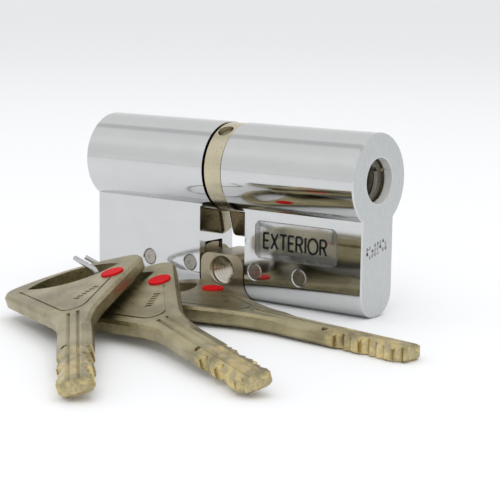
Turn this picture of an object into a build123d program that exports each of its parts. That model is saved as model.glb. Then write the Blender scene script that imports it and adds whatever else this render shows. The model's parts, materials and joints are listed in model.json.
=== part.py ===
from build123d import *
import math
import os

# Double profile lock cylinder for a mortise deadbolt, with its three keys.
# Millimetres. The origin is the centre of the fixing-screw hole.
# +X runs along the barrel to the outside end, +Y to the back face, +Z is up.

os.makedirs("parts", exist_ok=True)

# ---- driving dimensions: the standard profile ----
HALF_LENGTH = 31.0
BARREL_R = 8.5
WEB_WIDTH = 10.0
PROFILE_HEIGHT = 33.0
BARREL_Z = 19.0
WEB_CORNER_R = 4.6
CAM_GAP = 2.25
WINDOW = 5.3
WINDOW_CORNER_R = 0.8
END_CHAMFER = 0.25
FLOOR_Z = BARREL_Z + BARREL_R - PROFILE_HEIGHT

# ---- driving dimensions: bore, key entry and lock works ----
BORE_R = 6.55
CORE_R = 6.5
KEY_ENTRY_R = 4.1
NOTCH_LEAN = 23.5
NUB_R = 3.92
LIP = 1.5
DISC_R = 5.05
DISC_BORE_R = 5.1
DISC_THICKNESS = 1.35
DISC_PITCH = 1.9
FIRST_DISC_X = 27.25
WASHER_THICKNESS = 0.45
FIT = 0.03

# Turn of each disc from key-out to aligned, in steps of CODE_STEP degrees.
# The first disc leads the others and takes the full quarter turn.
OUTSIDE_CODE = [6, 2, 4, 1, 5, 3, 2, 6, 1, 4, 3]
INSIDE_CODE = [6, 3, 1, 5, 2, 4, 6, 1, 3, 5, 2]
CODE_STEP = 15.0

# ---- driving dimensions: bridge, pins and cam ----
BRIDGE_HALF = 5.0
BRIDGE_TOP = 3.2
BRIDGE_CORNER_R = 2.1
ARM_WIDTH = 4.8
ARM_Y = -0.75
ARM_TOP = 4.45
ARM_BOTTOM = -3.4
ARM_CROWN_R = 7.5
ARM_END = 21.5
POCKET_TOP = 4.75
POCKET_SIDE = 0.25
PIN_R = 1.5
PIN_Z = 0.7
PIN_X = (7.65, 17.65)
SCREW_R = 2.5
CAM_R = 8.3
CAM_HALF_WIDTH = 1.9
CAM_BORE_R = 5.0
LEVER_TIP_R = 14.6
LEVER_LEAN = 17.5
LEVER_FRONT = -0.7
LEVER_THICKNESS = 3.0
LEVER_HALF_WIDTH = 4.25

# ---- driving dimensions: keys, in each key's own frame ----
# u runs from the neck to the tip, v across, w through the thickness.
KEY_T = 2.7
BLADE_HALF = 2.8
BLADE_TIP = 34.6
BOW_END = -27.9
BOW_CORNER_U = -24.3
BOW_CORNER_V = 13.25
NECK_U = 2.3
DOT_U = -16.7
DOT_V = 7.0
DOT_R = 2.0
DOT_RISE = 0.28
KEY_BEVEL = 0.5
GROOVE_START = 0.5
MARK_CENTRE = (-8.9, 2.3)
MARK_LEAN = 139
MARK_COUNT = 6
MARK_PITCH = 1.0
WIRE_R = 0.45


def save(shape, name):
    export_step(shape, f"parts/{name}.step")


def x_cylinder(radius, x_from, x_to):
    """A cylinder on the barrel axis between two stations."""
    rod = Cylinder(radius, x_to - x_from, align=(Align.CENTER, Align.CENTER, Align.MIN))
    return Pos(x_from, 0, BARREL_Z) * Rot(0, 90, 0) * rod


def x_tube(outer, inner, x_from, x_to):
    """A tube on the barrel axis between two stations."""
    return x_cylinder(outer, x_from, x_to) - x_cylinder(inner, x_from - 1, x_to + 1)


def y_cylinder(radius, x, z, y_from, y_to):
    """A cylinder across the web between two depths."""
    rod = Cylinder(radius, y_to - y_from, align=(Align.CENTER, Align.CENTER, Align.MIN))
    return Pos(x, y_from, z) * Rot(-90, 0, 0) * rod


def y_cone(radius_from, radius_to, x, z, y_from, y_to):
    """A cone across the web between two depths."""
    plug = Cone(radius_from, radius_to, y_to - y_from,
                align=(Align.CENTER, Align.CENTER, Align.MIN))
    return Pos(x, y_from, z) * Rot(-90, 0, 0) * plug


def block(x_from, x_to, y_from, y_to, z_from, z_to):
    """A box given by its two ends on each axis."""
    size = (x_to - x_from, y_to - y_from, z_to - z_from)
    middle = ((x_from + x_to) / 2, (y_from + y_to) / 2, (z_from + z_to) / 2)
    return Pos(*middle) * Box(*size)


def web(x_from, x_to, top):
    """The flat-sided web with its rounded foot."""
    half = WEB_WIDTH / 2
    blank = block(x_from, x_to, -half, half, FLOOR_Z, top)
    foot = blank.edges().filter_by(Axis.X).group_by(Axis.Z)[0]
    return fillet(foot, WEB_CORNER_R)


def both_sides(outside_shape):
    """The outside piece and its mirror image for the inside half."""
    return {"outside": outside_shape, "inside": mirror(outside_shape, about=Plane.YZ)}


# ---- housings ----

def arm_pocket(x_from, x_to):
    """The slot in a web that takes the bridge's arm, with room above its crown."""
    half = ARM_WIDTH / 2 + POCKET_SIDE
    slot = block(x_from, x_to, ARM_Y - half, ARM_Y + half, ARM_BOTTOM - 0.1, POCKET_TOP)
    return fillet(slot.edges().filter_by(Axis.X).group_by(Axis.Z)[-1], 0.35)


def window_corner():
    """The small rounding where the web's inner edge runs up into the barrel."""
    top = BARREL_Z - math.sqrt(BARREL_R ** 2 - (WEB_WIDTH / 2) ** 2)
    half = WEB_WIDTH / 2
    low = top - WINDOW_CORNER_R
    corner = block(WINDOW - WINDOW_CORNER_R, WINDOW + 0.5, -half, half, low, BARREL_Z - 6)
    return corner - y_cylinder(WINDOW_CORNER_R, WINDOW - WINDOW_CORNER_R, low, -half - 1, half + 1)


def pin_hole(x):
    """A cross hole for a bridge pin, with a bright countersunk rim at each face."""
    half = WEB_WIDTH / 2
    rim = 0.14
    hole = y_cylinder(PIN_R + 0.02, x, PIN_Z, -half - 1, half + 1)
    hole += y_cone(PIN_R + rim + 0.02, PIN_R + 0.02, x, PIN_Z, -half, -half + rim)
    hole += y_cone(PIN_R + 0.02, PIN_R + rim + 0.02, x, PIN_Z, half - rim, half)
    return hole


def code_dots():
    """A slanting band of small punched dots on the end face's web."""
    dots = []
    for row in range(3):
        for place in range(8):
            if (place * 3 + row * 2) % 5 == 0:
                continue
            y = -3.3 + 0.85 * place
            z = BARREL_Z - 13.5 + 0.8 * row + 0.19 * place
            punch = Cone(0.05, 0.36, 0.42, align=(Align.CENTER, Align.CENTER, Align.MAX))
            dots.append(Pos(HALF_LENGTH + 0.01, y, z) * Rot(0, 90, 0) * punch)
    return dots


def lip_notch(x_from, x_to):
    """A fine locating notch along the key opening's wall."""
    notch = block(x_from, x_to, KEY_ENTRY_R - 0.3, KEY_ENTRY_R + 0.2, -0.13, 0.13)
    return Pos(0, 0, BARREL_Z) * Rot(NOTCH_LEAN, 0, 0) * notch


def housing():
    lip_x = HALF_LENGTH - LIP
    body = x_cylinder(BARREL_R, CAM_GAP, HALF_LENGTH)
    body += web(WINDOW, HALF_LENGTH, BARREL_Z - 5.0)
    rim = body.faces().sort_by(Axis.X)[-1].edges()
    body = chamfer(rim, END_CHAMFER)
    body += window_corner()
    body -= x_cylinder(BORE_R, CAM_GAP - 1, lip_x)
    body -= x_cylinder(KEY_ENTRY_R, lip_x - 1, HALF_LENGTH + 1)
    body -= lip_notch(lip_x - 1, HALF_LENGTH + 1)
    # groove for the retaining ring
    body -= x_tube(7.05, BORE_R - 1, 2.45, 3.35)
    # groove that the side bar locks into
    body -= block(6.0, 27.6, -1.05, 1.05, BARREL_Z - 7.4, BARREL_Z - 6.0)
    body -= arm_pocket(WINDOW - 1, ARM_END + 0.5)
    for x in PIN_X:
        body -= pin_hole(x)
    return body


outside_body = housing()
for dot in code_dots():
    outside_body -= dot
save(outside_body, "outside_housing")
save(mirror(housing(), about=Plane.YZ), "inside_housing")


# ---- bridge and its pins ----

def bridge_arm():
    """One arm of the bridge: a flat-sided bar with a crowned top."""
    low, high = ARM_Y - ARM_WIDTH / 2, ARM_Y + ARM_WIDTH / 2
    bar = block(BRIDGE_HALF, ARM_END, low, high, ARM_BOTTOM, ARM_TOP + 1)
    crown = Pos(0, ARM_Y, ARM_TOP - ARM_CROWN_R - BARREL_Z) * x_cylinder(ARM_CROWN_R, 0, ARM_END + 1)
    neck = block(0, WINDOW + 0.06, low - 1, high + 1, BRIDGE_TOP - BRIDGE_CORNER_R, ARM_TOP + 1)
    return (bar & crown) - neck


def bridge():
    middle = web(-BRIDGE_HALF, BRIDGE_HALF, BRIDGE_TOP)
    shoulders = middle.faces().sort_by(Axis.Z)[-1].edges().filter_by(Axis.Y)
    middle = fillet(shoulders, BRIDGE_CORNER_R)
    body = middle + bridge_arm() + mirror(bridge_arm(), about=Plane.YZ)
    half = WEB_WIDTH / 2
    lead = 0.35
    body -= y_cylinder(SCREW_R, 0, 0, -half - 1, half + 1)
    body -= y_cone(SCREW_R + lead, SCREW_R, 0, 0, -half, -half + lead)
    body -= y_cone(SCREW_R, SCREW_R + lead, 0, 0, half - lead, half)
    # the rear half of the top is milled a little lower
    body -= block(-BRIDGE_HALF - 1, BRIDGE_HALF + 1, 0.9, half + 1, BRIDGE_TOP - 0.12, BRIDGE_TOP + 1)
    for side in (-1, 1):
        for x in PIN_X:
            body -= y_cylinder(PIN_R + 0.02, side * x, PIN_Z, -half, half)
    return body


def bridge_pin(x):
    half = WEB_WIDTH / 2 - 0.06
    pin = y_cylinder(PIN_R, x, PIN_Z, -half, half)
    pin = chamfer(pin.edges().filter_by(GeomType.CIRCLE), 0.18)
    for end in (-half, half):
        pin -= y_cylinder(0.4, x, PIN_Z, end - 0.1, end + 0.1)
    return pin


save(bridge(), "bridge")
save(Compound([bridge_pin(side * x) for side in (-1, 1) for x in PIN_X]), "bridge_pins")


# ---- cam, its pin and the clutch ----

WING_HALF = 1.5
WING_R = 5.95
CLUTCH_R = 2.4
CAM_PIN_LEAN = 30.4


def cam_radial(radius, r_from, r_to):
    """A radial rod in the cam at the place of its locking pin."""
    rod = Cylinder(radius, r_to - r_from, align=(Align.CENTER, Align.CENTER, Align.MIN))
    return Pos(0, 0, BARREL_Z) * Rot(CAM_PIN_LEAN, 0, 0) * Pos(0, 0, r_from) * rod


def cam():
    reach = LEVER_HALF_WIDTH
    plate = block(-reach, reach, LEVER_FRONT, LEVER_FRONT + LEVER_THICKNESS, -LEVER_TIP_R, -6.5)
    plate = fillet(plate.edges().filter_by(Axis.Z).group_by(Axis.Y)[0], 0.7)
    tip = plate.edges().filter_by(Axis.Y).group_by(Axis.Z)[0]
    plate = fillet(tip, 1.0)
    tip_rims = plate.faces().sort_by(Axis.Z)[0].edges().filter_by(Axis.X)
    plate = fillet(tip_rims, 0.3)
    plate = Pos(0, 0, BARREL_Z) * Rot(LEVER_LEAN, 0, 0) * plate
    for side in (-1, 1):
        near, far = sorted((side * CAM_HALF_WIDTH, side * (reach + 1)))
        plate -= x_cylinder(BARREL_R + 0.12, near, far)
    ring = x_cylinder(CAM_R, -CAM_HALF_WIDTH, CAM_HALF_WIDTH)
    body = chamfer(ring.edges().filter_by(GeomType.CIRCLE), 0.12) + plate
    body -= x_cylinder(CAM_BORE_R, -3, 3)
    groove = WING_HALF + FIT
    body -= block(-3, 3, -WING_R - 0.1, WING_R + 0.1, BARREL_Z - groove, BARREL_Z + groove)
    body -= cam_radial(PIN_R, 6.4, 9.5)
    return body


def clutch():
    wing = block(0.25, 2.1, -WING_R, WING_R, BARREL_Z - WING_HALF, BARREL_Z + WING_HALF)
    wing &= x_cylinder(WING_R, 0, 3)
    return wing + x_cylinder(CLUTCH_R, -0.725, 3.075)


save(cam(), "cam")
locking_pin = cam_radial(PIN_R - FIT, 6.45, 7.45)
locking_pin = chamfer(locking_pin.edges().filter_by(GeomType.CIRCLE), 0.25)
save(locking_pin, "cam_pin")
save(clutch(), "clutch")


# ---- key-turned works, made for the outside half and mirrored for the inside ----

CORE_INNER_X = 3.4
CAVITY_X = 6.3
CORE_FRONT_X = 28.7


def core():
    body = x_cylinder(CORE_R, CORE_INNER_X, CORE_FRONT_X)
    body += x_cylinder(5.5, CAM_GAP + 0.1, CORE_INNER_X)
    body += x_cylinder(CAM_BORE_R - FIT, 0.2, CAM_GAP + 0.1)
    body -= x_cylinder(DISC_BORE_R, CAVITY_X, CORE_FRONT_X + 1)
    body -= x_cylinder(CLUTCH_R + 0.2, 0, CAVITY_X + 1)
    slot = WING_HALF + FIT
    body -= block(0, 2.15, -CORE_R, CORE_R, BARREL_Z - slot, BARREL_Z + slot)
    body -= block(6.45, 27.05, -1.03, 1.03, BARREL_Z - CORE_R - 1, BARREL_Z - 4.9)
    return body


def guard_ring():
    ring = x_tube(CORE_R, 4.0, CORE_FRONT_X + 0.05, HALF_LENGTH - LIP - 0.05)
    notch = block(28, 30, 3.6, 4.7, BARREL_Z + 1.2, BARREL_Z + 2.0)
    nub = block(CORE_FRONT_X + 0.05, HALF_LENGTH - LIP - 0.05, -0.35, 0.35, -4.3, -NUB_R)
    nub = Pos(0, 0, BARREL_Z) * Rot(NOTCH_LEAN, 0, 0) * fillet(nub.edges().filter_by(Axis.X).group_by(Axis.Z)[-1], 0.3)
    return ring - notch + nub


def front_plate():
    plate = x_tube(DISC_R, 3.9, 27.35, 28.05)
    nub = block(27.35, 28.05, -0.5, 0.5, BARREL_Z - 4.4, BARREL_Z - 3.3)
    notch = block(27, 29, 3.4, 4.5, BARREL_Z + 1.2, BARREL_Z + 2.0)
    return plate + nub - notch


def keyway(x_from, x_to):
    """The half-moon opening for the key's blade."""
    moon = x_cylinder(3.45, x_from, x_to)
    return moon & block(x_from, x_to, -4, 0.5, BARREL_Z - 4, BARREL_Z + 4)


def rim_notch(x_from, x_to, lean, half_width, depth):
    """A notch in a disc's rim, turned about the axis from straight down."""
    cut = block(x_from, x_to, -half_width, half_width, -DISC_R - 1, -DISC_R + depth)
    return Pos(0, 0, BARREL_Z) * Rot(lean, 0, 0) * cut


def disc(place, code):
    """One code disc, its true gate and two shallow false gates."""
    front = FIRST_DISC_X - DISC_PITCH * place
    back = front - DISC_THICKNESS
    body = x_cylinder(DISC_R, back, front) - keyway(back - 1, front + 1)
    body -= rim_notch(back - 1, front + 1, -code * CODE_STEP, 1.1, 0.75)
    for extra in (35, 70):
        body -= rim_notch(back - 1, front + 1, -code * CODE_STEP - extra, 0.8, 0.25)
    return body


def spacer_washer(place):
    front = FIRST_DISC_X - DISC_PITCH * place - DISC_THICKNESS - 0.05
    return x_tube(DISC_R, 3.8, front - WASHER_THICKNESS, front)


def side_bar():
    return block(6.5, 27.0, -1.0, 1.0, BARREL_Z - 6.4, BARREL_Z - 5.15)


def retaining_ring():
    ring = x_tube(7.0, 5.6, 2.5, 3.3)
    return ring - block(2, 4, -1.5, 1.5, BARREL_Z, BARREL_Z + 8)


washers = Compound([spacer_washer(place) for place in range(len(OUTSIDE_CODE) - 1)])
works = {
    "core": core(),
    "guard_ring": guard_ring(),
    "front_plate": front_plate(),
    "spacer_washers": washers,
    "side_bar": side_bar(),
    "retaining_ring": retaining_ring(),
}
for piece_name, piece in works.items():
    for side, shape in both_sides(piece).items():
        save(shape, f"{side}_{piece_name}")
for side, codes in (("outside", OUTSIDE_CODE), ("inside", INSIDE_CODE)):
    for place, code in enumerate(codes):
        save(both_sides(disc(place, code))[side], f"{side}_disc_{place + 1}")


# ---- clear label on the outside half ----

LABEL_X = (7.7, 25.75)
LABEL_Z = (3.4, 10.35)
LABEL_THICKNESS = 0.08

label = block(*LABEL_X, -WEB_WIDTH / 2 - LABEL_THICKNESS, -WEB_WIDTH / 2, *LABEL_Z)
label = fillet(label.edges().filter_by(Axis.Y), 1.2)
save(label, "clear_label")


# ---- keys ----

def key_outline():
    """The fan-shaped bow and straight blade, seen from above."""
    with BuildSketch() as outline:
        with BuildLine():
            ThreePointArc((BOW_CORNER_U, -BOW_CORNER_V), (BOW_END, 0), (BOW_CORNER_U, BOW_CORNER_V))
            Polyline(
                (BOW_CORNER_U, BOW_CORNER_V),
                (NECK_U, BLADE_HALF),
                (BLADE_TIP, BLADE_HALF),
                (BLADE_TIP, -BLADE_HALF),
                (NECK_U, -BLADE_HALF),
                (BOW_CORNER_U, -BOW_CORNER_V),
            )
        make_face()
        corners = outline.vertices().group_by(Axis.X)
        fillet(corners[0], 3.0)
        fillet(outline.vertices().group_by(Axis.X)[-1], 1.4)
        neck = [v for v in outline.vertices() if abs(v.X - NECK_U) < 0.1]
        fillet(neck, 26.0)
    return outline.sketch


def bow_groove():
    """The fine groove that follows the bow's two flanks and rounds its neck."""
    with BuildSketch() as groove:
        with BuildLine():
            FilletPolyline((-13.9, 6.57), (2.9, 0), (-21.5, -9.55), radius=2.4)
        trace(line_width=0.4)
    return groove.sketch


def bow_slot():
    """The lens-shaped slot near the bow's end."""
    with BuildSketch() as slot:
        with BuildLine():
            ThreePointArc((-22.0, -8.2), (-26.2, 0), (-22.0, 8.2))
            ThreePointArc((-22.0, 8.2), (-18.2, 0), (-22.0, -8.2))
        make_face()
    return slot.sketch


def blade_shoulder(side):
    """What is milled off one upper edge of the blade, with a sloping run-in."""
    top = KEY_T / 2
    edge = BLADE_HALF + 1
    start = Plane((3.0, 0, 0), x_dir=(0, 1, 0), z_dir=(1, 0, 0))
    full = Plane((9.0, 0, 0), x_dir=(0, 1, 0), z_dir=(1, 0, 0))
    shallow = start * Polygon((side * 2.5, top + 0.2), (side * edge, top + 0.2),
                              (side * edge, top - 0.15), align=None)
    deep = full * Polygon((side * 0.9, top + 0.2), (side * edge, top + 0.2),
                          (side * edge, top - 1.25), align=None)
    return loft([shallow, deep]) + extrude(deep, BLADE_TIP, dir=(1, 0, 0))


def blade_groove(side):
    """A shallow V groove along the blade's top, beside its middle."""
    top = KEY_T / 2
    section = Plane((GROOVE_START, 0, 0), x_dir=(0, 1, 0), z_dir=(1, 0, 0)) * Polygon(
        (side * 0.35, top + 0.1), (side * 0.75, top - 0.3), (side * 1.25, top + 0.1), align=None)
    return extrude(section, BLADE_TIP, dir=(1, 0, 0))


def key():
    """One key blank with its cuts, lying flat about its own middle plane."""
    top = KEY_T / 2
    blank = extrude(key_outline(), top, both=True)
    for rim in (blank.faces().sort_by(Axis.Z)[-1], blank.faces().sort_by(Axis.Z)[0]):
        blank = chamfer(blank.edges().filter_by(lambda e, face=rim: e in face.edges()), KEY_BEVEL)
    for level, way in ((top - 0.16, 1), (-top + 0.16, -1)):
        blank -= Pos(0, 0, level) * extrude(bow_groove(), way)
    blank -= extrude(bow_slot(), top + 1, both=True)
    blank -= Pos(DOT_U, DOT_V, top - 0.6) * Cylinder(DOT_R, 2, align=(Align.CENTER, Align.CENTER, Align.MIN))
    for side in (-1, 1):
        blank -= blade_shoulder(side)
        blank -= blade_groove(side)
        for place in range(9):
            bite = 0.35 + 0.16 * ((place * 5 + (side > 0) * 3) % 7)
            u = 19.8 + 1.72 * place
            cutter = Cylinder(0.95, KEY_T + 1)
            blank -= Pos(u, side * (BLADE_HALF + 0.95 - bite), 0) * cutter
    blank -= Pos(17.6, -1.5, top) * Cylinder(0.55, 0.9)
    for bar in range(MARK_COUNT):
        mark = Pos((bar - (MARK_COUNT - 1) / 2) * MARK_PITCH, 0, top) * Box(0.5, 1.2, 0.3)
        blank -= Pos(*MARK_CENTRE) * Rot(0, 0, MARK_LEAN) * mark
    return blank


def colour_dot():
    """The raised colour dot that sits in the bow."""
    button = Cylinder(DOT_R - 0.02, 0.58 + DOT_RISE, align=(Align.CENTER, Align.CENTER, Align.MIN))
    button = fillet(button.edges().group_by(Axis.Z)[-1], 0.1)
    return Pos(DOT_U, DOT_V, KEY_T / 2 - 0.58) * button


# Each key's centre, then its yaw, pitch and roll as it lies on the pile.
KEY_POSES = {
    "key_1": ((6.6, -51.6, -0.75), (-46.6, 4.2, 16.4)),
    "key_2": ((17.7, -42.9, -1.6), (-26.9, 2.5, 16.2)),
    "key_3": ((19.35, -21.0, -3.54), (-6.4, 1.0, 0.0)),
}


def pose(place, angles):
    yaw, pitch, roll = angles
    return Pos(*place) * Rot(0, 0, yaw) * Rot(0, pitch, 0) * Rot(roll, 0, 0)


flat_key = key()
flat_dot = colour_dot()
for name, (place, angles) in KEY_POSES.items():
    save(pose(place, angles) * flat_key, name)
    save(pose(place, angles) * flat_dot, name + "_colour_dot")


# ---- wire that ties the keys together ----

# An open loop: from a free end over the top bow it goes down through the three slots, under the lowest
# bow, round behind the pile and up to a second free end beside the first.
WIRE_POINTS = [
    (-11.55, -32.4, 4.6),
    (-6.0, -33.2, 3.3),
    (-4.9, -32.4, 0.9),
    (-2.4, -29.6, -1.0),
    (-3.2, -25.4, -1.2),
    (-3.5, -24.4, -5.0),
    (-5.9, -22.9, -5.0),
    (-8.9, -20.5, -5.0),
    (-9.8, -11.9, -3.6),
    (-19.0, -11.4, -1.0),
    (-22.3, -20.3, -1.1),
    (-10.0, -25.2, 1.6),
    (-13.3, -27.9, 4.0),
]
WIRE_BENDS = [0.9, 1.0, 0.9, 0.5, 0.9, 1.0, 1.5, 2.5, 3.6, 3.6, 1.0]

wire_line = FilletPolyline(*WIRE_POINTS, radius=WIRE_BENDS)
wire_start = Plane(origin=wire_line @ 0, z_dir=wire_line % 0)
save(sweep(wire_start * Circle(WIRE_R), path=wire_line), "key_ring")
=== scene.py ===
import json
import math

import bmesh
import bpy
from mathutils import Matrix, Vector


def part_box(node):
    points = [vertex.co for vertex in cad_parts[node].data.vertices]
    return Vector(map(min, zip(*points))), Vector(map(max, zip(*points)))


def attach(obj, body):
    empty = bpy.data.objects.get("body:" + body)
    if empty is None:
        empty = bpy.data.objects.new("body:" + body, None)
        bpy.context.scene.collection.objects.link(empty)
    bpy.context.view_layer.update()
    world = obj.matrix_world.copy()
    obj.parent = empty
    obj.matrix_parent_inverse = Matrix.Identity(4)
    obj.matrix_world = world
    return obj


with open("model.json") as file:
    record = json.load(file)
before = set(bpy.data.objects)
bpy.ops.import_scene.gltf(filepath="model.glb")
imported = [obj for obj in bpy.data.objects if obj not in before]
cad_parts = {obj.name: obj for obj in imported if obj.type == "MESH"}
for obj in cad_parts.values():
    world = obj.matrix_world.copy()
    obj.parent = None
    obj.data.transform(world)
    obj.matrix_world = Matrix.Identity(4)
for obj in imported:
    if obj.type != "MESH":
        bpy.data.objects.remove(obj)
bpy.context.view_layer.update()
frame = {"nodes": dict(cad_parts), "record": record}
nodes = frame["nodes"]

# Lengths below are in millimetres, and MM turns them into the scene's metres.
MM = 0.001
BARREL_Z = 19.0
HALF_LENGTH = 31.0
FLOOR_Z = -5.5
KEY_OPENING_R = 4.4
LIP_DEPTH = 1.6
END_FACE_DEPTH = 0.2

# The patch of punched marks on the outside end face: middle and reach, by height, across and in depth.
MARKS_Z = (5.0, 5.0)
MARKS_Y = (0.0, 4.2)
MARKS_DEPTH = (0.31, 0.29)

# Where each key lies and its yaw, pitch and roll in degrees, so that its brushing follows the blade.
KEY_POSES = {
    "key_1": ((6.6, -51.6, -0.75), (-46.6, 4.2, 16.4)),
    "key_2": ((17.7, -42.9, -1.6), (-26.9, 2.5, 16.2)),
    "key_3": ((19.35, -21.0, -3.54), (-6.4, 1.0, 0.0)),
}
CUTS_START = 0.016
CUTS_FULL = 0.021

CHROME = (0.615, 0.620, 0.615)
CHROME_CLOUD = (0.585, 0.595, 0.595)
CHROME_SPECK = (0.40, 0.40, 0.40)
# Painted sheen: a light colour on the key openings' walls stands in for the light they catch.
LIP_PAINTED_SHEEN = (0.86, 0.86, 0.85)
# Painted shade: a near-black colour for the shade inside the punched marks' pockets.
PUNCHED_PAINTED_SHADE = (0.07, 0.065, 0.06)
MILLED_LIGHT = (0.59, 0.61, 0.605)
MILLED_DARK = (0.43, 0.45, 0.445)
KEY_LIGHT = (0.47, 0.415, 0.255)
KEY_DARK = (0.31, 0.27, 0.15)
KEY_GOLD = (0.68, 0.55, 0.27)
KEY_GRIME = (0.15, 0.125, 0.07)
FILM_CLEAR = (0.66, 0.67, 0.66)
FILM_EDGE = (0.22, 0.22, 0.20)
INK = (0.012, 0.012, 0.014)
FLOOR_WHITE = (0.90, 0.905, 0.915)


# ---------------------------------------------------------------- node helpers

class Shade:
    """A material's node tree, with short calls for the nodes that it uses."""

    def __init__(self, name, roughness, metallic=0.0):
        self.mat = bpy.data.materials.new(name)
        self.mat.use_nodes = True
        self.tree = self.mat.node_tree
        self.bsdf = self.tree.nodes["Principled BSDF"]
        self.bsdf.inputs["Roughness"].default_value = roughness
        self.bsdf.inputs["Metallic"].default_value = metallic

    def put(self, socket, value):
        """Links a socket's input, or sets it when the value is a constant."""
        if hasattr(value, "is_output"):
            self.tree.links.new(value, socket)
        else:
            socket.default_value = value

    def node(self, kind, **sockets):
        n = self.tree.nodes.new(kind)
        for key, value in sockets.items():
            self.put(n.inputs[key.replace("_", " ")], value)
        return n

    def coords(self, kind="Object"):
        return self.tree.nodes.new("ShaderNodeTexCoord").outputs[kind]

    def mapped(self, scale=(1, 1, 1), rotation=(0, 0, 0), location=(0, 0, 0), source=None):
        return self.node("ShaderNodeMapping", Vector=source or self.coords(), Scale=scale,
                         Rotation=rotation, Location=location).outputs["Vector"]

    def split(self, vector):
        """The vector's X, Y and Z outputs."""
        return self.node("ShaderNodeSeparateXYZ", Vector=vector).outputs

    def maths(self, operation, a, b=0.0):
        n = self.tree.nodes.new("ShaderNodeMath")
        n.operation = operation
        self.put(n.inputs[0], a)
        self.put(n.inputs[1], b)
        return n.outputs[0]

    def times(self, a, b):
        return self.maths("MULTIPLY", a, b)

    def near(self, value, centre, reach):
        """One where the value is within reach of the centre, else zero."""
        return self.maths("LESS_THAN", self.maths("ABSOLUTE", self.maths("SUBTRACT", value, centre)), reach)

    def noise(self, vector, detail=3.0, rough=0.5):
        n = self.node("ShaderNodeTexNoise", Vector=vector, Scale=1.0, Detail=detail, Roughness=rough)
        return n.outputs["Fac"]

    def ramp(self, value, low, high, out_low=0.0, out_high=1.0):
        """The value, stretched from one range to another and held at its ends."""
        n = self.tree.nodes.new("ShaderNodeMapRange")
        n.clamp = True
        for key, v in (("Value", value), ("From Min", low), ("From Max", high),
                       ("To Min", out_low), ("To Max", out_high)):
            self.put(n.inputs[key], v)
        return n.outputs["Result"]

    def mix(self, fac, a, b):
        n = self.tree.nodes.new("ShaderNodeMix")
        n.data_type = "RGBA"
        self.put(n.inputs["Factor"], fac)
        for key, colour in (("A", a), ("B", b)):
            self.put(n.inputs[key], rgba(colour) if isinstance(colour, tuple) else colour)
        return n.outputs["Result"]

    def bump(self, height, strength, distance):
        return self.node("ShaderNodeBump", Height=height, Strength=strength, Distance=distance).outputs[0]

    def set(self, **sockets):
        """Fills the surface's sockets and gives the finished material."""
        for key, value in sockets.items():
            self.put(self.bsdf.inputs[key.replace("_", " ")], value)
        return self.mat


def rgba(colour):
    return (*colour, 1.0)


# ---------------------------------------------------------------- materials

def chrome_masks(s):
    """Masks of the milled end faces, the key openings' walls and the punched marks."""
    x, y, z = s.split(s.coords())
    across = s.maths("ABSOLUTE", x)
    ends = s.maths("GREATER_THAN", s.maths("ABSOLUTE", s.split(s.coords("Normal"))[0]), 0.97)
    face = s.times(ends, s.maths("GREATER_THAN", across, (HALF_LENGTH - END_FACE_DEPTH) * MM))
    rise = s.maths("SUBTRACT", z, BARREL_Z * MM)
    radius = s.maths("SQRT", s.maths("ADD", s.times(y, y), s.times(rise, rise)))
    lip = s.times(s.maths("LESS_THAN", radius, KEY_OPENING_R * MM),
                  s.maths("GREATER_THAN", across, (HALF_LENGTH - LIP_DEPTH) * MM))
    depth, reach = MARKS_DEPTH
    punched = s.times(s.near(across, (HALF_LENGTH - depth) * MM, reach * MM),
                      s.times(s.near(y, MARKS_Y[0] * MM, MARKS_Y[1] * MM),
                              s.near(z, MARKS_Z[0] * MM, MARKS_Z[1] * MM)))
    return face, lip, punched


def milling_marks(s):
    """The height of a milled face, and the fine grain that is part of it."""
    arcs = s.node("ShaderNodeTexWave", Vector=s.mapped(rotation=(0.5, 0, 0)), Scale=700.0,
                  Distortion=5.0, Detail=2.0, Detail_Scale=0.4)
    arcs.bands_direction = "Y"
    grain = s.noise(s.mapped((900, 2600, 700), (0.9, 0, 0)), 5.0, 0.7)
    return s.maths("ADD", s.times(arcs.outputs["Fac"], 0.4), grain), grain


def chrome_material():
    """Bright chrome on the flanks, satin milled faces on the two ends and inside the key openings, with a
    painted sheen on the key openings' walls and painted shade in the punched marks.
    """
    s = Shade("chrome_plate", 0.05, 1.0)
    face, lip, punched = chrome_masks(s)
    tooling, grain = milling_marks(s)
    streaks = s.noise(s.mapped((60, 1400, 1400)), 4.0, 0.6)
    cloud = s.noise(s.mapped((180, 260, 260)), 3.0, 0.6)
    specks = s.ramp(s.noise(s.mapped((2600, 2600, 2600)), 2.0), 0.70, 0.78)
    polish = s.ramp(s.times(streaks, cloud), 0.12, 0.42, 0.04, 0.12)
    rough = s.ramp(face, 0, 1, polish, s.ramp(grain, 0.3, 0.7, 0.28, 0.40))
    rough = s.ramp(lip, 0, 1, rough, 0.36)
    plate = s.mix(s.ramp(cloud, 0.3, 0.7), CHROME_CLOUD, CHROME)
    plate = s.mix(s.times(specks, 0.25), plate, CHROME_SPECK)
    # Painted sheen: the key openings' walls get a light colour and less metallic below, standing in for the
    # light they catch.
    plate = s.mix(lip, plate, LIP_PAINTED_SHEEN)
    # Painted shade: the punched marks are darkened, patchily with the grain, standing in for the shade in
    # their pockets.
    plate = s.mix(s.times(punched, s.ramp(grain, 0.4, 0.55, 1.0, 0.35)), plate, PUNCHED_PAINTED_SHADE)
    milled = s.mix(s.ramp(tooling, 0.35, 0.95), MILLED_DARK, MILLED_LIGHT)
    height = s.ramp(face, 0, 1, cloud, tooling)
    strength = s.ramp(face, 0, 1, 0.02, 0.4)
    return s.set(Base_Color=s.mix(face, plate, milled), Metallic=s.ramp(lip, 0, 1, 1.0, 0.35),
                 Roughness=rough, Normal=s.bump(height, strength, 0.00004))


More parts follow.
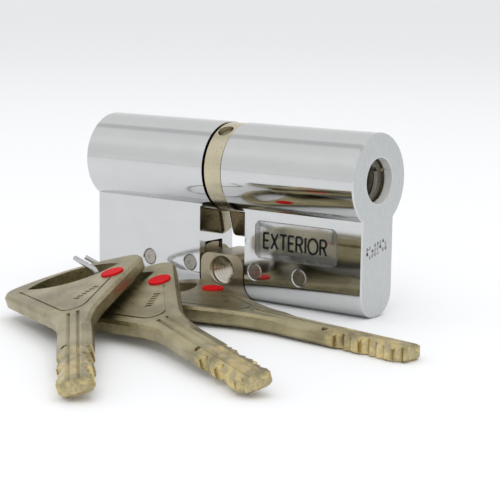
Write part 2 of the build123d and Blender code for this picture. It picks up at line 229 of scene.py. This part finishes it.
def satin_metal(name, light, dark, roughness, metallic=1.0):
    """A plated or turned metal with cloudy tone, fine grain and small pits."""
    s = Shade(name, roughness, metallic)
    fine = s.noise(s.mapped((900, 900, 900)), 5.0, 0.7)
    cloud = s.noise(s.mapped((140, 140, 140)), 4.0, 0.6)
    pits = s.ramp(s.noise(s.mapped((2300, 2300, 2300)), 2.0), 0.66, 0.74)
    tone = s.mix(s.ramp(cloud, 0.3, 0.7), dark, light)
    tone = s.mix(s.times(pits, 0.5), tone, tuple(c * 0.4 for c in dark))
    rough = s.ramp(fine, 0.25, 0.75, roughness * 0.8, roughness * 1.3)
    return s.set(Base_Color=tone, Roughness=rough, Normal=s.bump(fine, 0.15, 0.00005))


def key_material(name, place, angles):
    """Worn nickel silver: brushed along the key, golden on its cuts, grimy in patches."""
    s = Shade(name, 0.32, 1.0)
    yaw, pitch, roll = (math.radians(a) for a in angles)
    turn = (Matrix.Rotation(yaw, 3, "Z") @ Matrix.Rotation(pitch, 3, "Y")
            @ Matrix.Rotation(roll, 3, "X")).transposed()
    origin = -(turn @ (Vector(place) * MM))
    local = s.mapped((1, 1, 1), tuple(turn.to_euler("XYZ")), tuple(origin))
    along = s.split(local)[0]
    lines = s.noise(s.mapped((70, 2600, 2600), source=local), 5.0, 0.7)
    cloud = s.noise(s.mapped((110, 150, 150), source=local), 4.0, 0.6)
    wear = s.noise(s.mapped((420, 420, 420), source=local), 4.0, 0.7)
    tone = s.mix(s.ramp(cloud, 0.3, 0.7), KEY_DARK, KEY_LIGHT)
    golden = s.times(s.ramp(along, CUTS_START, CUTS_FULL), s.ramp(wear, 0.42, 0.58))
    tone = s.mix(golden, tone, KEY_GOLD)
    grime = s.maths("ADD", s.times(cloud, 0.6), s.times(lines, 0.4))
    tone = s.mix(s.ramp(grime, 0.4, 0.56, 0.5, 0.0), tone, KEY_GRIME)
    rough = s.ramp(lines, 0.3, 0.7, 0.24, 0.44)
    return s.set(Base_Color=tone, Roughness=rough, Normal=s.bump(lines, 0.25, 0.00005))


def plastic_material(name, colour, roughness):
    """Enamel or ink: an even colour with a slightly uneven, dull surface."""
    s = Shade(name, roughness)
    fine = s.noise(s.mapped((1500, 1500, 1500)))
    patches = s.ramp(s.noise(s.mapped((300, 300, 300))), 0.35, 0.65)
    tone = s.mix(patches, tuple(c * 0.82 for c in colour), colour)
    rough = s.ramp(fine, 0.3, 0.7, roughness * 0.85, roughness * 1.2)
    s.bsdf.inputs["Specular IOR Level"].default_value = 0.08
    return s.set(Base_Color=tone, Roughness=rough, Normal=s.bump(fine, 0.08, 0.00003))


def film_material():
    """Clear label film with adhesive specks, and a darker line along its cut edge."""
    s = Shade("label_film", 0.12)
    low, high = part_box("clear_label")
    x, _, z = s.split(s.coords())
    gaps = [gap for value, a, b in ((x, low.x, high.x), (z, low.z, high.z))
            for gap in (s.maths("SUBTRACT", value, a), s.maths("SUBTRACT", b, value))]
    inside = gaps[0]
    for gap in gaps[1:]:
        inside = s.maths("MINIMUM", inside, gap)
    edge = s.ramp(inside, 0.08 * MM, 0.2 * MM, 1.0, 0.0)
    specks = s.noise(s.mapped((1900, 1900, 1900)), 4.0, 0.7)
    haze = s.ramp(specks, 0.45, 0.7, 0.07, 0.16)
    return s.set(Base_Color=s.mix(edge, FILM_CLEAR, FILM_EDGE), IOR=1.5,
                 Alpha=s.maths("MAXIMUM", haze, s.times(edge, 0.5)), Normal=s.bump(specks, 0.1, 0.00003))


# Each metal's light tone, dark tone and roughness.
METALS = {
    "bridge_steel": ((0.44, 0.385, 0.28), (0.35, 0.305, 0.22), 0.30),
    "cam_nickel": ((0.61, 0.55, 0.40), (0.52, 0.465, 0.33), 0.24),
    "pin_steel": ((0.42, 0.39, 0.35), (0.30, 0.28, 0.25), 0.28),
    "hard_steel": ((0.62, 0.585, 0.49), (0.46, 0.43, 0.36), 0.20),
    "lock_brass": ((0.50, 0.45, 0.33), (0.38, 0.34, 0.25), 0.22),
    "ring_wire": ((0.62, 0.62, 0.62), (0.50, 0.50, 0.50), 0.25),
}

materials = {
    "chrome_plate": chrome_material(),
    "label_film": film_material(),
    "red_enamel": plastic_material("red_enamel", (0.60, 0.006, 0.010), 0.55),
}
materials.update({name: satin_metal(name, *look) for name, look in METALS.items()})

# Nodes that look different from the rest of their slot.
by_node = {name: key_material("key_nickel_silver_" + name, *pose) for name, pose in KEY_POSES.items()}
for side in ("outside", "inside"):
    # Painted shade: the first discs, deep inside the key openings, are coloured nearly black.
    by_node[side + "_disc_1"] = satin_metal("brass_painted_shade_" + side, (0.12, 0.105, 0.075),
                                            (0.05, 0.045, 0.035), 0.3)
    # Painted sheen: the front plates get a light colour and are only partly metallic, standing in for the
    # highlights they catch.
    by_node[side + "_front_plate"] = satin_metal("plate_painted_sheen_" + side, (0.80, 0.79, 0.75),
                                                 (0.56, 0.55, 0.52), 0.22, metallic=0.6)

for row in frame["record"]["subparts"]:
    name = row["node"]
    material = by_node.get(name) or materials[row["material_slot"]]
    for place in nodes[name].material_slots:
        place.material = material


def mesh_object(name, bm):
    """Turns a bmesh into a linked object with outward normals."""
    bmesh.ops.recalc_face_normals(bm, faces=bm.faces)
    mesh = bpy.data.meshes.new(name)
    bm.to_mesh(mesh)
    bm.free()
    obj = bpy.data.objects.new(name, mesh)
    bpy.context.scene.collection.objects.link(obj)
    return obj


# ---------------------------------------------------------------- label lettering

WORD = "EXTERIOR"
LETTER_HEIGHT = 2.75
LETTER_GAP = 0.17
WORD_MARGIN_LEFT = 2.0
WORD_MARGIN_RIGHT = 2.1
WORD_RISE = 2.0
STROKE_HALF_WIDTH = 0.19
INK_THICKNESS = 0.012
INK_LIFT = 0.002
SHARP_TURN = 0.6


def arc(cx, cz, rx, rz, start, end, steps=20):
    """Points on an elliptical arc, in degrees."""
    turn = [math.radians(start + (end - start) * i / steps) for i in range(steps + 1)]
    return [(cx + rx * math.cos(t), cz + rz * math.sin(t)) for t in turn]


# Plain block letters on a grid one unit high: each is (width, strokes).
LETTERS = {
    "E": (0.52, [[(0.46, 1), (0, 1), (0, 0), (0.46, 0)], [(0, 0.52), (0.42, 0.52)]]),
    "X": (0.62, [[(0, 1), (0.58, 0)], [(0, 0), (0.58, 1)]]),
    "T": (0.62, [[(0, 1), (0.6, 1)], [(0.3, 1), (0.3, 0)]]),
    "R": (0.60, [[(0, 0), (0, 1)] + arc(0.28, 0.75, 0.24, 0.25, 90, -90) + [(0, 0.5)],
                 [(0.27, 0.5), (0.54, 0)]]),
    "I": (0.12, [[(0.05, 0), (0.05, 1)]]),
    "O": (0.90, [arc(0.42, 0.5, 0.42, 0.5, 0, 360, 40)]),
}


def split_corners(strokes):
    """Cuts strokes at sharp corners, so that each piece keeps its full width."""
    out = []
    for stroke in strokes:
        run = [stroke[0]]
        for i in range(1, len(stroke)):
            run.append(stroke[i])
            if i < len(stroke) - 1:
                a = Vector(stroke[i]) - Vector(stroke[i - 1])
                b = Vector(stroke[i + 1]) - Vector(stroke[i])
                if a.angle(b, 0.0) > SHARP_TURN:
                    out.append(run)
                    run = [stroke[i]]
        out.append(run)
    return out


def lettering(word, height, low, high, base):
    """The word's strokes, spread between two stations on the label."""
    total = sum(LETTERS[c][0] for c in word) + LETTER_GAP * (len(word) - 1)
    wide = (high - low) / (total * height)
    strokes, at = [], 0.0
    for c in word:
        width, shapes = LETTERS[c]
        for shape in split_corners(shapes):
            strokes.append([(low + (at + px) * height * wide, base + pz * height) for px, pz in shape])
        at += width + LETTER_GAP
    return strokes


def stroke_edges(points, half_width):
    """The two edges of a stroke, one on each side of its points."""
    left, right = [], []
    for i, (px, pz) in enumerate(points):
        before = points[max(i - 1, 0)]
        after = points[min(i + 1, len(points) - 1)]
        along = Vector((after[0] - before[0], after[1] - before[1])).normalized()
        side = Vector((-along.y, along.x)) * half_width
        left.append((px + side.x, pz + side.y))
        right.append((px - side.x, pz - side.y))
    return left, right


def strokes_to_mesh(name, strokes, half_width, thickness, plane_y):
    """Flat strokes of constant width with square ends, standing just proud of a face."""
    bm = bmesh.new()
    for points in strokes:
        edges = stroke_edges(points, half_width)
        front = [[bm.verts.new((p[0], plane_y - thickness, p[1])) for p in edge] for edge in edges]
        back = [[bm.verts.new((p[0], plane_y, p[1])) for p in edge] for edge in edges]
        for i in range(len(points) - 1):
            bm.faces.new((front[0][i], front[1][i], front[1][i + 1], front[0][i + 1]))
            bm.faces.new((back[0][i + 1], back[1][i + 1], back[1][i], back[0][i]))
            for k, flip in ((0, False), (1, True)):
                quad = (front[k][i], front[k][i + 1], back[k][i + 1], back[k][i])
                bm.faces.new(quad[::-1] if flip else quad)
        for i in (0, len(points) - 1):
            quad = (front[0][i], back[0][i], back[1][i], front[1][i])
            bm.faces.new(quad if i else quad[::-1])
    return mesh_object(name, bm)


label_low, label_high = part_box("clear_label")
strokes = lettering(WORD, LETTER_HEIGHT * MM, label_low.x + WORD_MARGIN_LEFT * MM,
                    label_high.x - WORD_MARGIN_RIGHT * MM, label_low.z + WORD_RISE * MM)
label_word = strokes_to_mesh("label_word", strokes, STROKE_HALF_WIDTH * MM, INK_THICKNESS * MM,
                             label_low.y - INK_LIFT * MM)
label_word.data.materials.append(plastic_material("label_ink", INK, 0.45))
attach(label_word, "lock_body")


# ---------------------------------------------------------------- screw thread

THREAD_ROOT = 2.49
THREAD_CREST = 2.1
THREAD_PITCH = 0.8
THREAD_REACH = 4.3
THREAD_STEPS = 48
ROOT_HALF = 0.46
CREST_HALF = 0.07


def screw_thread(name, root, crest, pitch, low_y, high_y):
    """A helical ridge inside the fixing-screw hole, along Y."""
    section = ((root, -ROOT_HALF), (crest, -CREST_HALF), (crest, CREST_HALF), (root, ROOT_HALF))
    bm = bmesh.new()
    rings = []
    for i in range(int((high_y - low_y) / pitch * THREAD_STEPS) + 1):
        angle = 2 * math.pi * i / THREAD_STEPS
        y = low_y + pitch * i / THREAD_STEPS
        rings.append([bm.verts.new((r * math.cos(angle), y + o * pitch, r * math.sin(angle)))
                      for r, o in section])
    for a, b in zip(rings, rings[1:]):
        for k in range(len(section)):
            n = (k + 1) % len(section)
            bm.faces.new((a[k], a[n], b[n], b[k]))
    bm.faces.new(rings[0][::-1])
    bm.faces.new(rings[-1])
    return mesh_object(name, bm)


thread = screw_thread("fixing_screw_thread", THREAD_ROOT * MM, THREAD_CREST * MM, THREAD_PITCH * MM,
                      -THREAD_REACH * MM, THREAD_REACH * MM)
thread.data.materials.append(satin_metal("thread_steel", (0.60, 0.56, 0.48), (0.46, 0.43, 0.36), 0.16))
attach(thread, "lock_body")


# ---------------------------------------------------------------- stage, light and camera

FLOOR_HALF = 12.0
FLOOR_DROP = 0.00002


def white_floor():
    """A wide plain floor just under the part."""
    mesh = bpy.data.meshes.new("floor")
    corners = [(x * FLOOR_HALF, y * FLOOR_HALF, 0) for x, y in ((-1, -1), (1, -1), (1, 1), (-1, 1))]
    mesh.from_pydata(corners, [], [(0, 1, 2, 3)])
    mesh.materials.append(Shade("floor_white", 0.6).set(Base_Color=rgba(FLOOR_WHITE)))
    obj = bpy.data.objects.new("floor", mesh)
    obj.location.z = FLOOR_Z * MM - FLOOR_DROP
    bpy.context.scene.collection.objects.link(obj)
    return obj


def area_light(name, place, target, size, power):
    """A square soft light that chrome does not mirror."""
    data = bpy.data.lights.new(name, "AREA")
    data.shape = "RECTANGLE"
    data.size = data.size_y = size
    data.energy = power
    lamp = bpy.data.objects.new(name, data)
    lamp.location = place
    lamp.rotation_euler = (Vector(target) - Vector(place)).to_track_quat("-Z", "Y").to_euler()
    lamp.visible_glossy = False
    bpy.context.scene.collection.objects.link(lamp)


white_floor()
area_light("top_soft", (0.05, -0.05, 0.75), (0, 0, 0), 0.9, 1.8)
area_light("front_soft", (0.45, -0.7, 0.5), (0.01, -0.02, 0), 0.5, 1.3)

# A white tent: its brightness changes with the angle in degrees around the barrel's axis, from the front up.
TENT = ((-180, 0.90), (-90, 0.95), (-5, 0.93), (12, 0.87), (28, 0.89), (46, 0.99), (62, 0.93), (80, 0.90),
        (87, 0.68), (95, 0.69), (101, 0.92), (120, 0.88), (145, 0.84), (180, 0.90))


def white_tent():
    """The world: a slightly cool white that follows the tent's levels."""
    world = bpy.data.worlds.new("studio")
    bpy.context.scene.world = world
    world.use_nodes = True
    tree = world.node_tree
    new, link = tree.nodes.new, tree.links.new
    axes = new("ShaderNodeSeparateXYZ")
    link(new("ShaderNodeTexCoord").outputs["Generated"], axes.inputs[0])
    front = new("ShaderNodeMath")
    front.operation = "MULTIPLY"
    front.inputs[1].default_value = -1.0
    link(axes.outputs["Y"], front.inputs[0])
    around = new("ShaderNodeMath")
    around.operation = "ARCTAN2"
    link(axes.outputs["Z"], around.inputs[0])
    link(front.outputs[0], around.inputs[1])
    turn = new("ShaderNodeMapRange")
    turn.inputs["From Min"].default_value = -math.pi
    turn.inputs["From Max"].default_value = math.pi
    link(around.outputs[0], turn.inputs["Value"])
    levels = new("ShaderNodeValToRGB")
    link(turn.outputs["Result"], levels.inputs[0])
    stops = levels.color_ramp.elements
    for i, (angle, level) in enumerate(TENT):
        at = (angle + 180) / 360
        stop = stops[0] if i == 0 else stops[-1] if i == len(TENT) - 1 else stops.new(at)
        stop.position = at
        stop.color = rgba((level, level * 1.005, level * 1.015))
    link(levels.outputs["Color"], tree.nodes["Background"].inputs["Color"])


white_tent()

AZIMUTH = math.radians(36.95)
ELEVATION = math.radians(9.47)
ROLL = math.radians(0.77)
DISTANCE = 0.2957
TARGET = Vector((2.785, 0, 3.584)) * MM
LENS = 113.37


def place_camera():
    """The camera at the photo's angle."""
    back = Vector((math.sin(AZIMUTH) * math.cos(ELEVATION), -math.cos(AZIMUTH) * math.cos(ELEVATION),
                   math.sin(ELEVATION)))
    data = bpy.data.cameras.new("camera")
    data.lens = LENS
    data.sensor_width = 36
    data.clip_start = 0.01
    data.clip_end = 100
    camera = bpy.data.objects.new("camera", data)
    look = (-back).to_track_quat("-Z", "Y").to_matrix() @ Matrix.Rotation(ROLL, 3, "Z")
    camera.matrix_world = Matrix.Translation(TARGET + back * DISTANCE) @ look.to_4x4()
    bpy.context.scene.collection.objects.link(camera)
    bpy.context.scene.camera = camera


place_camera()
bpy.context.scene.view_settings.view_transform = "Standard"
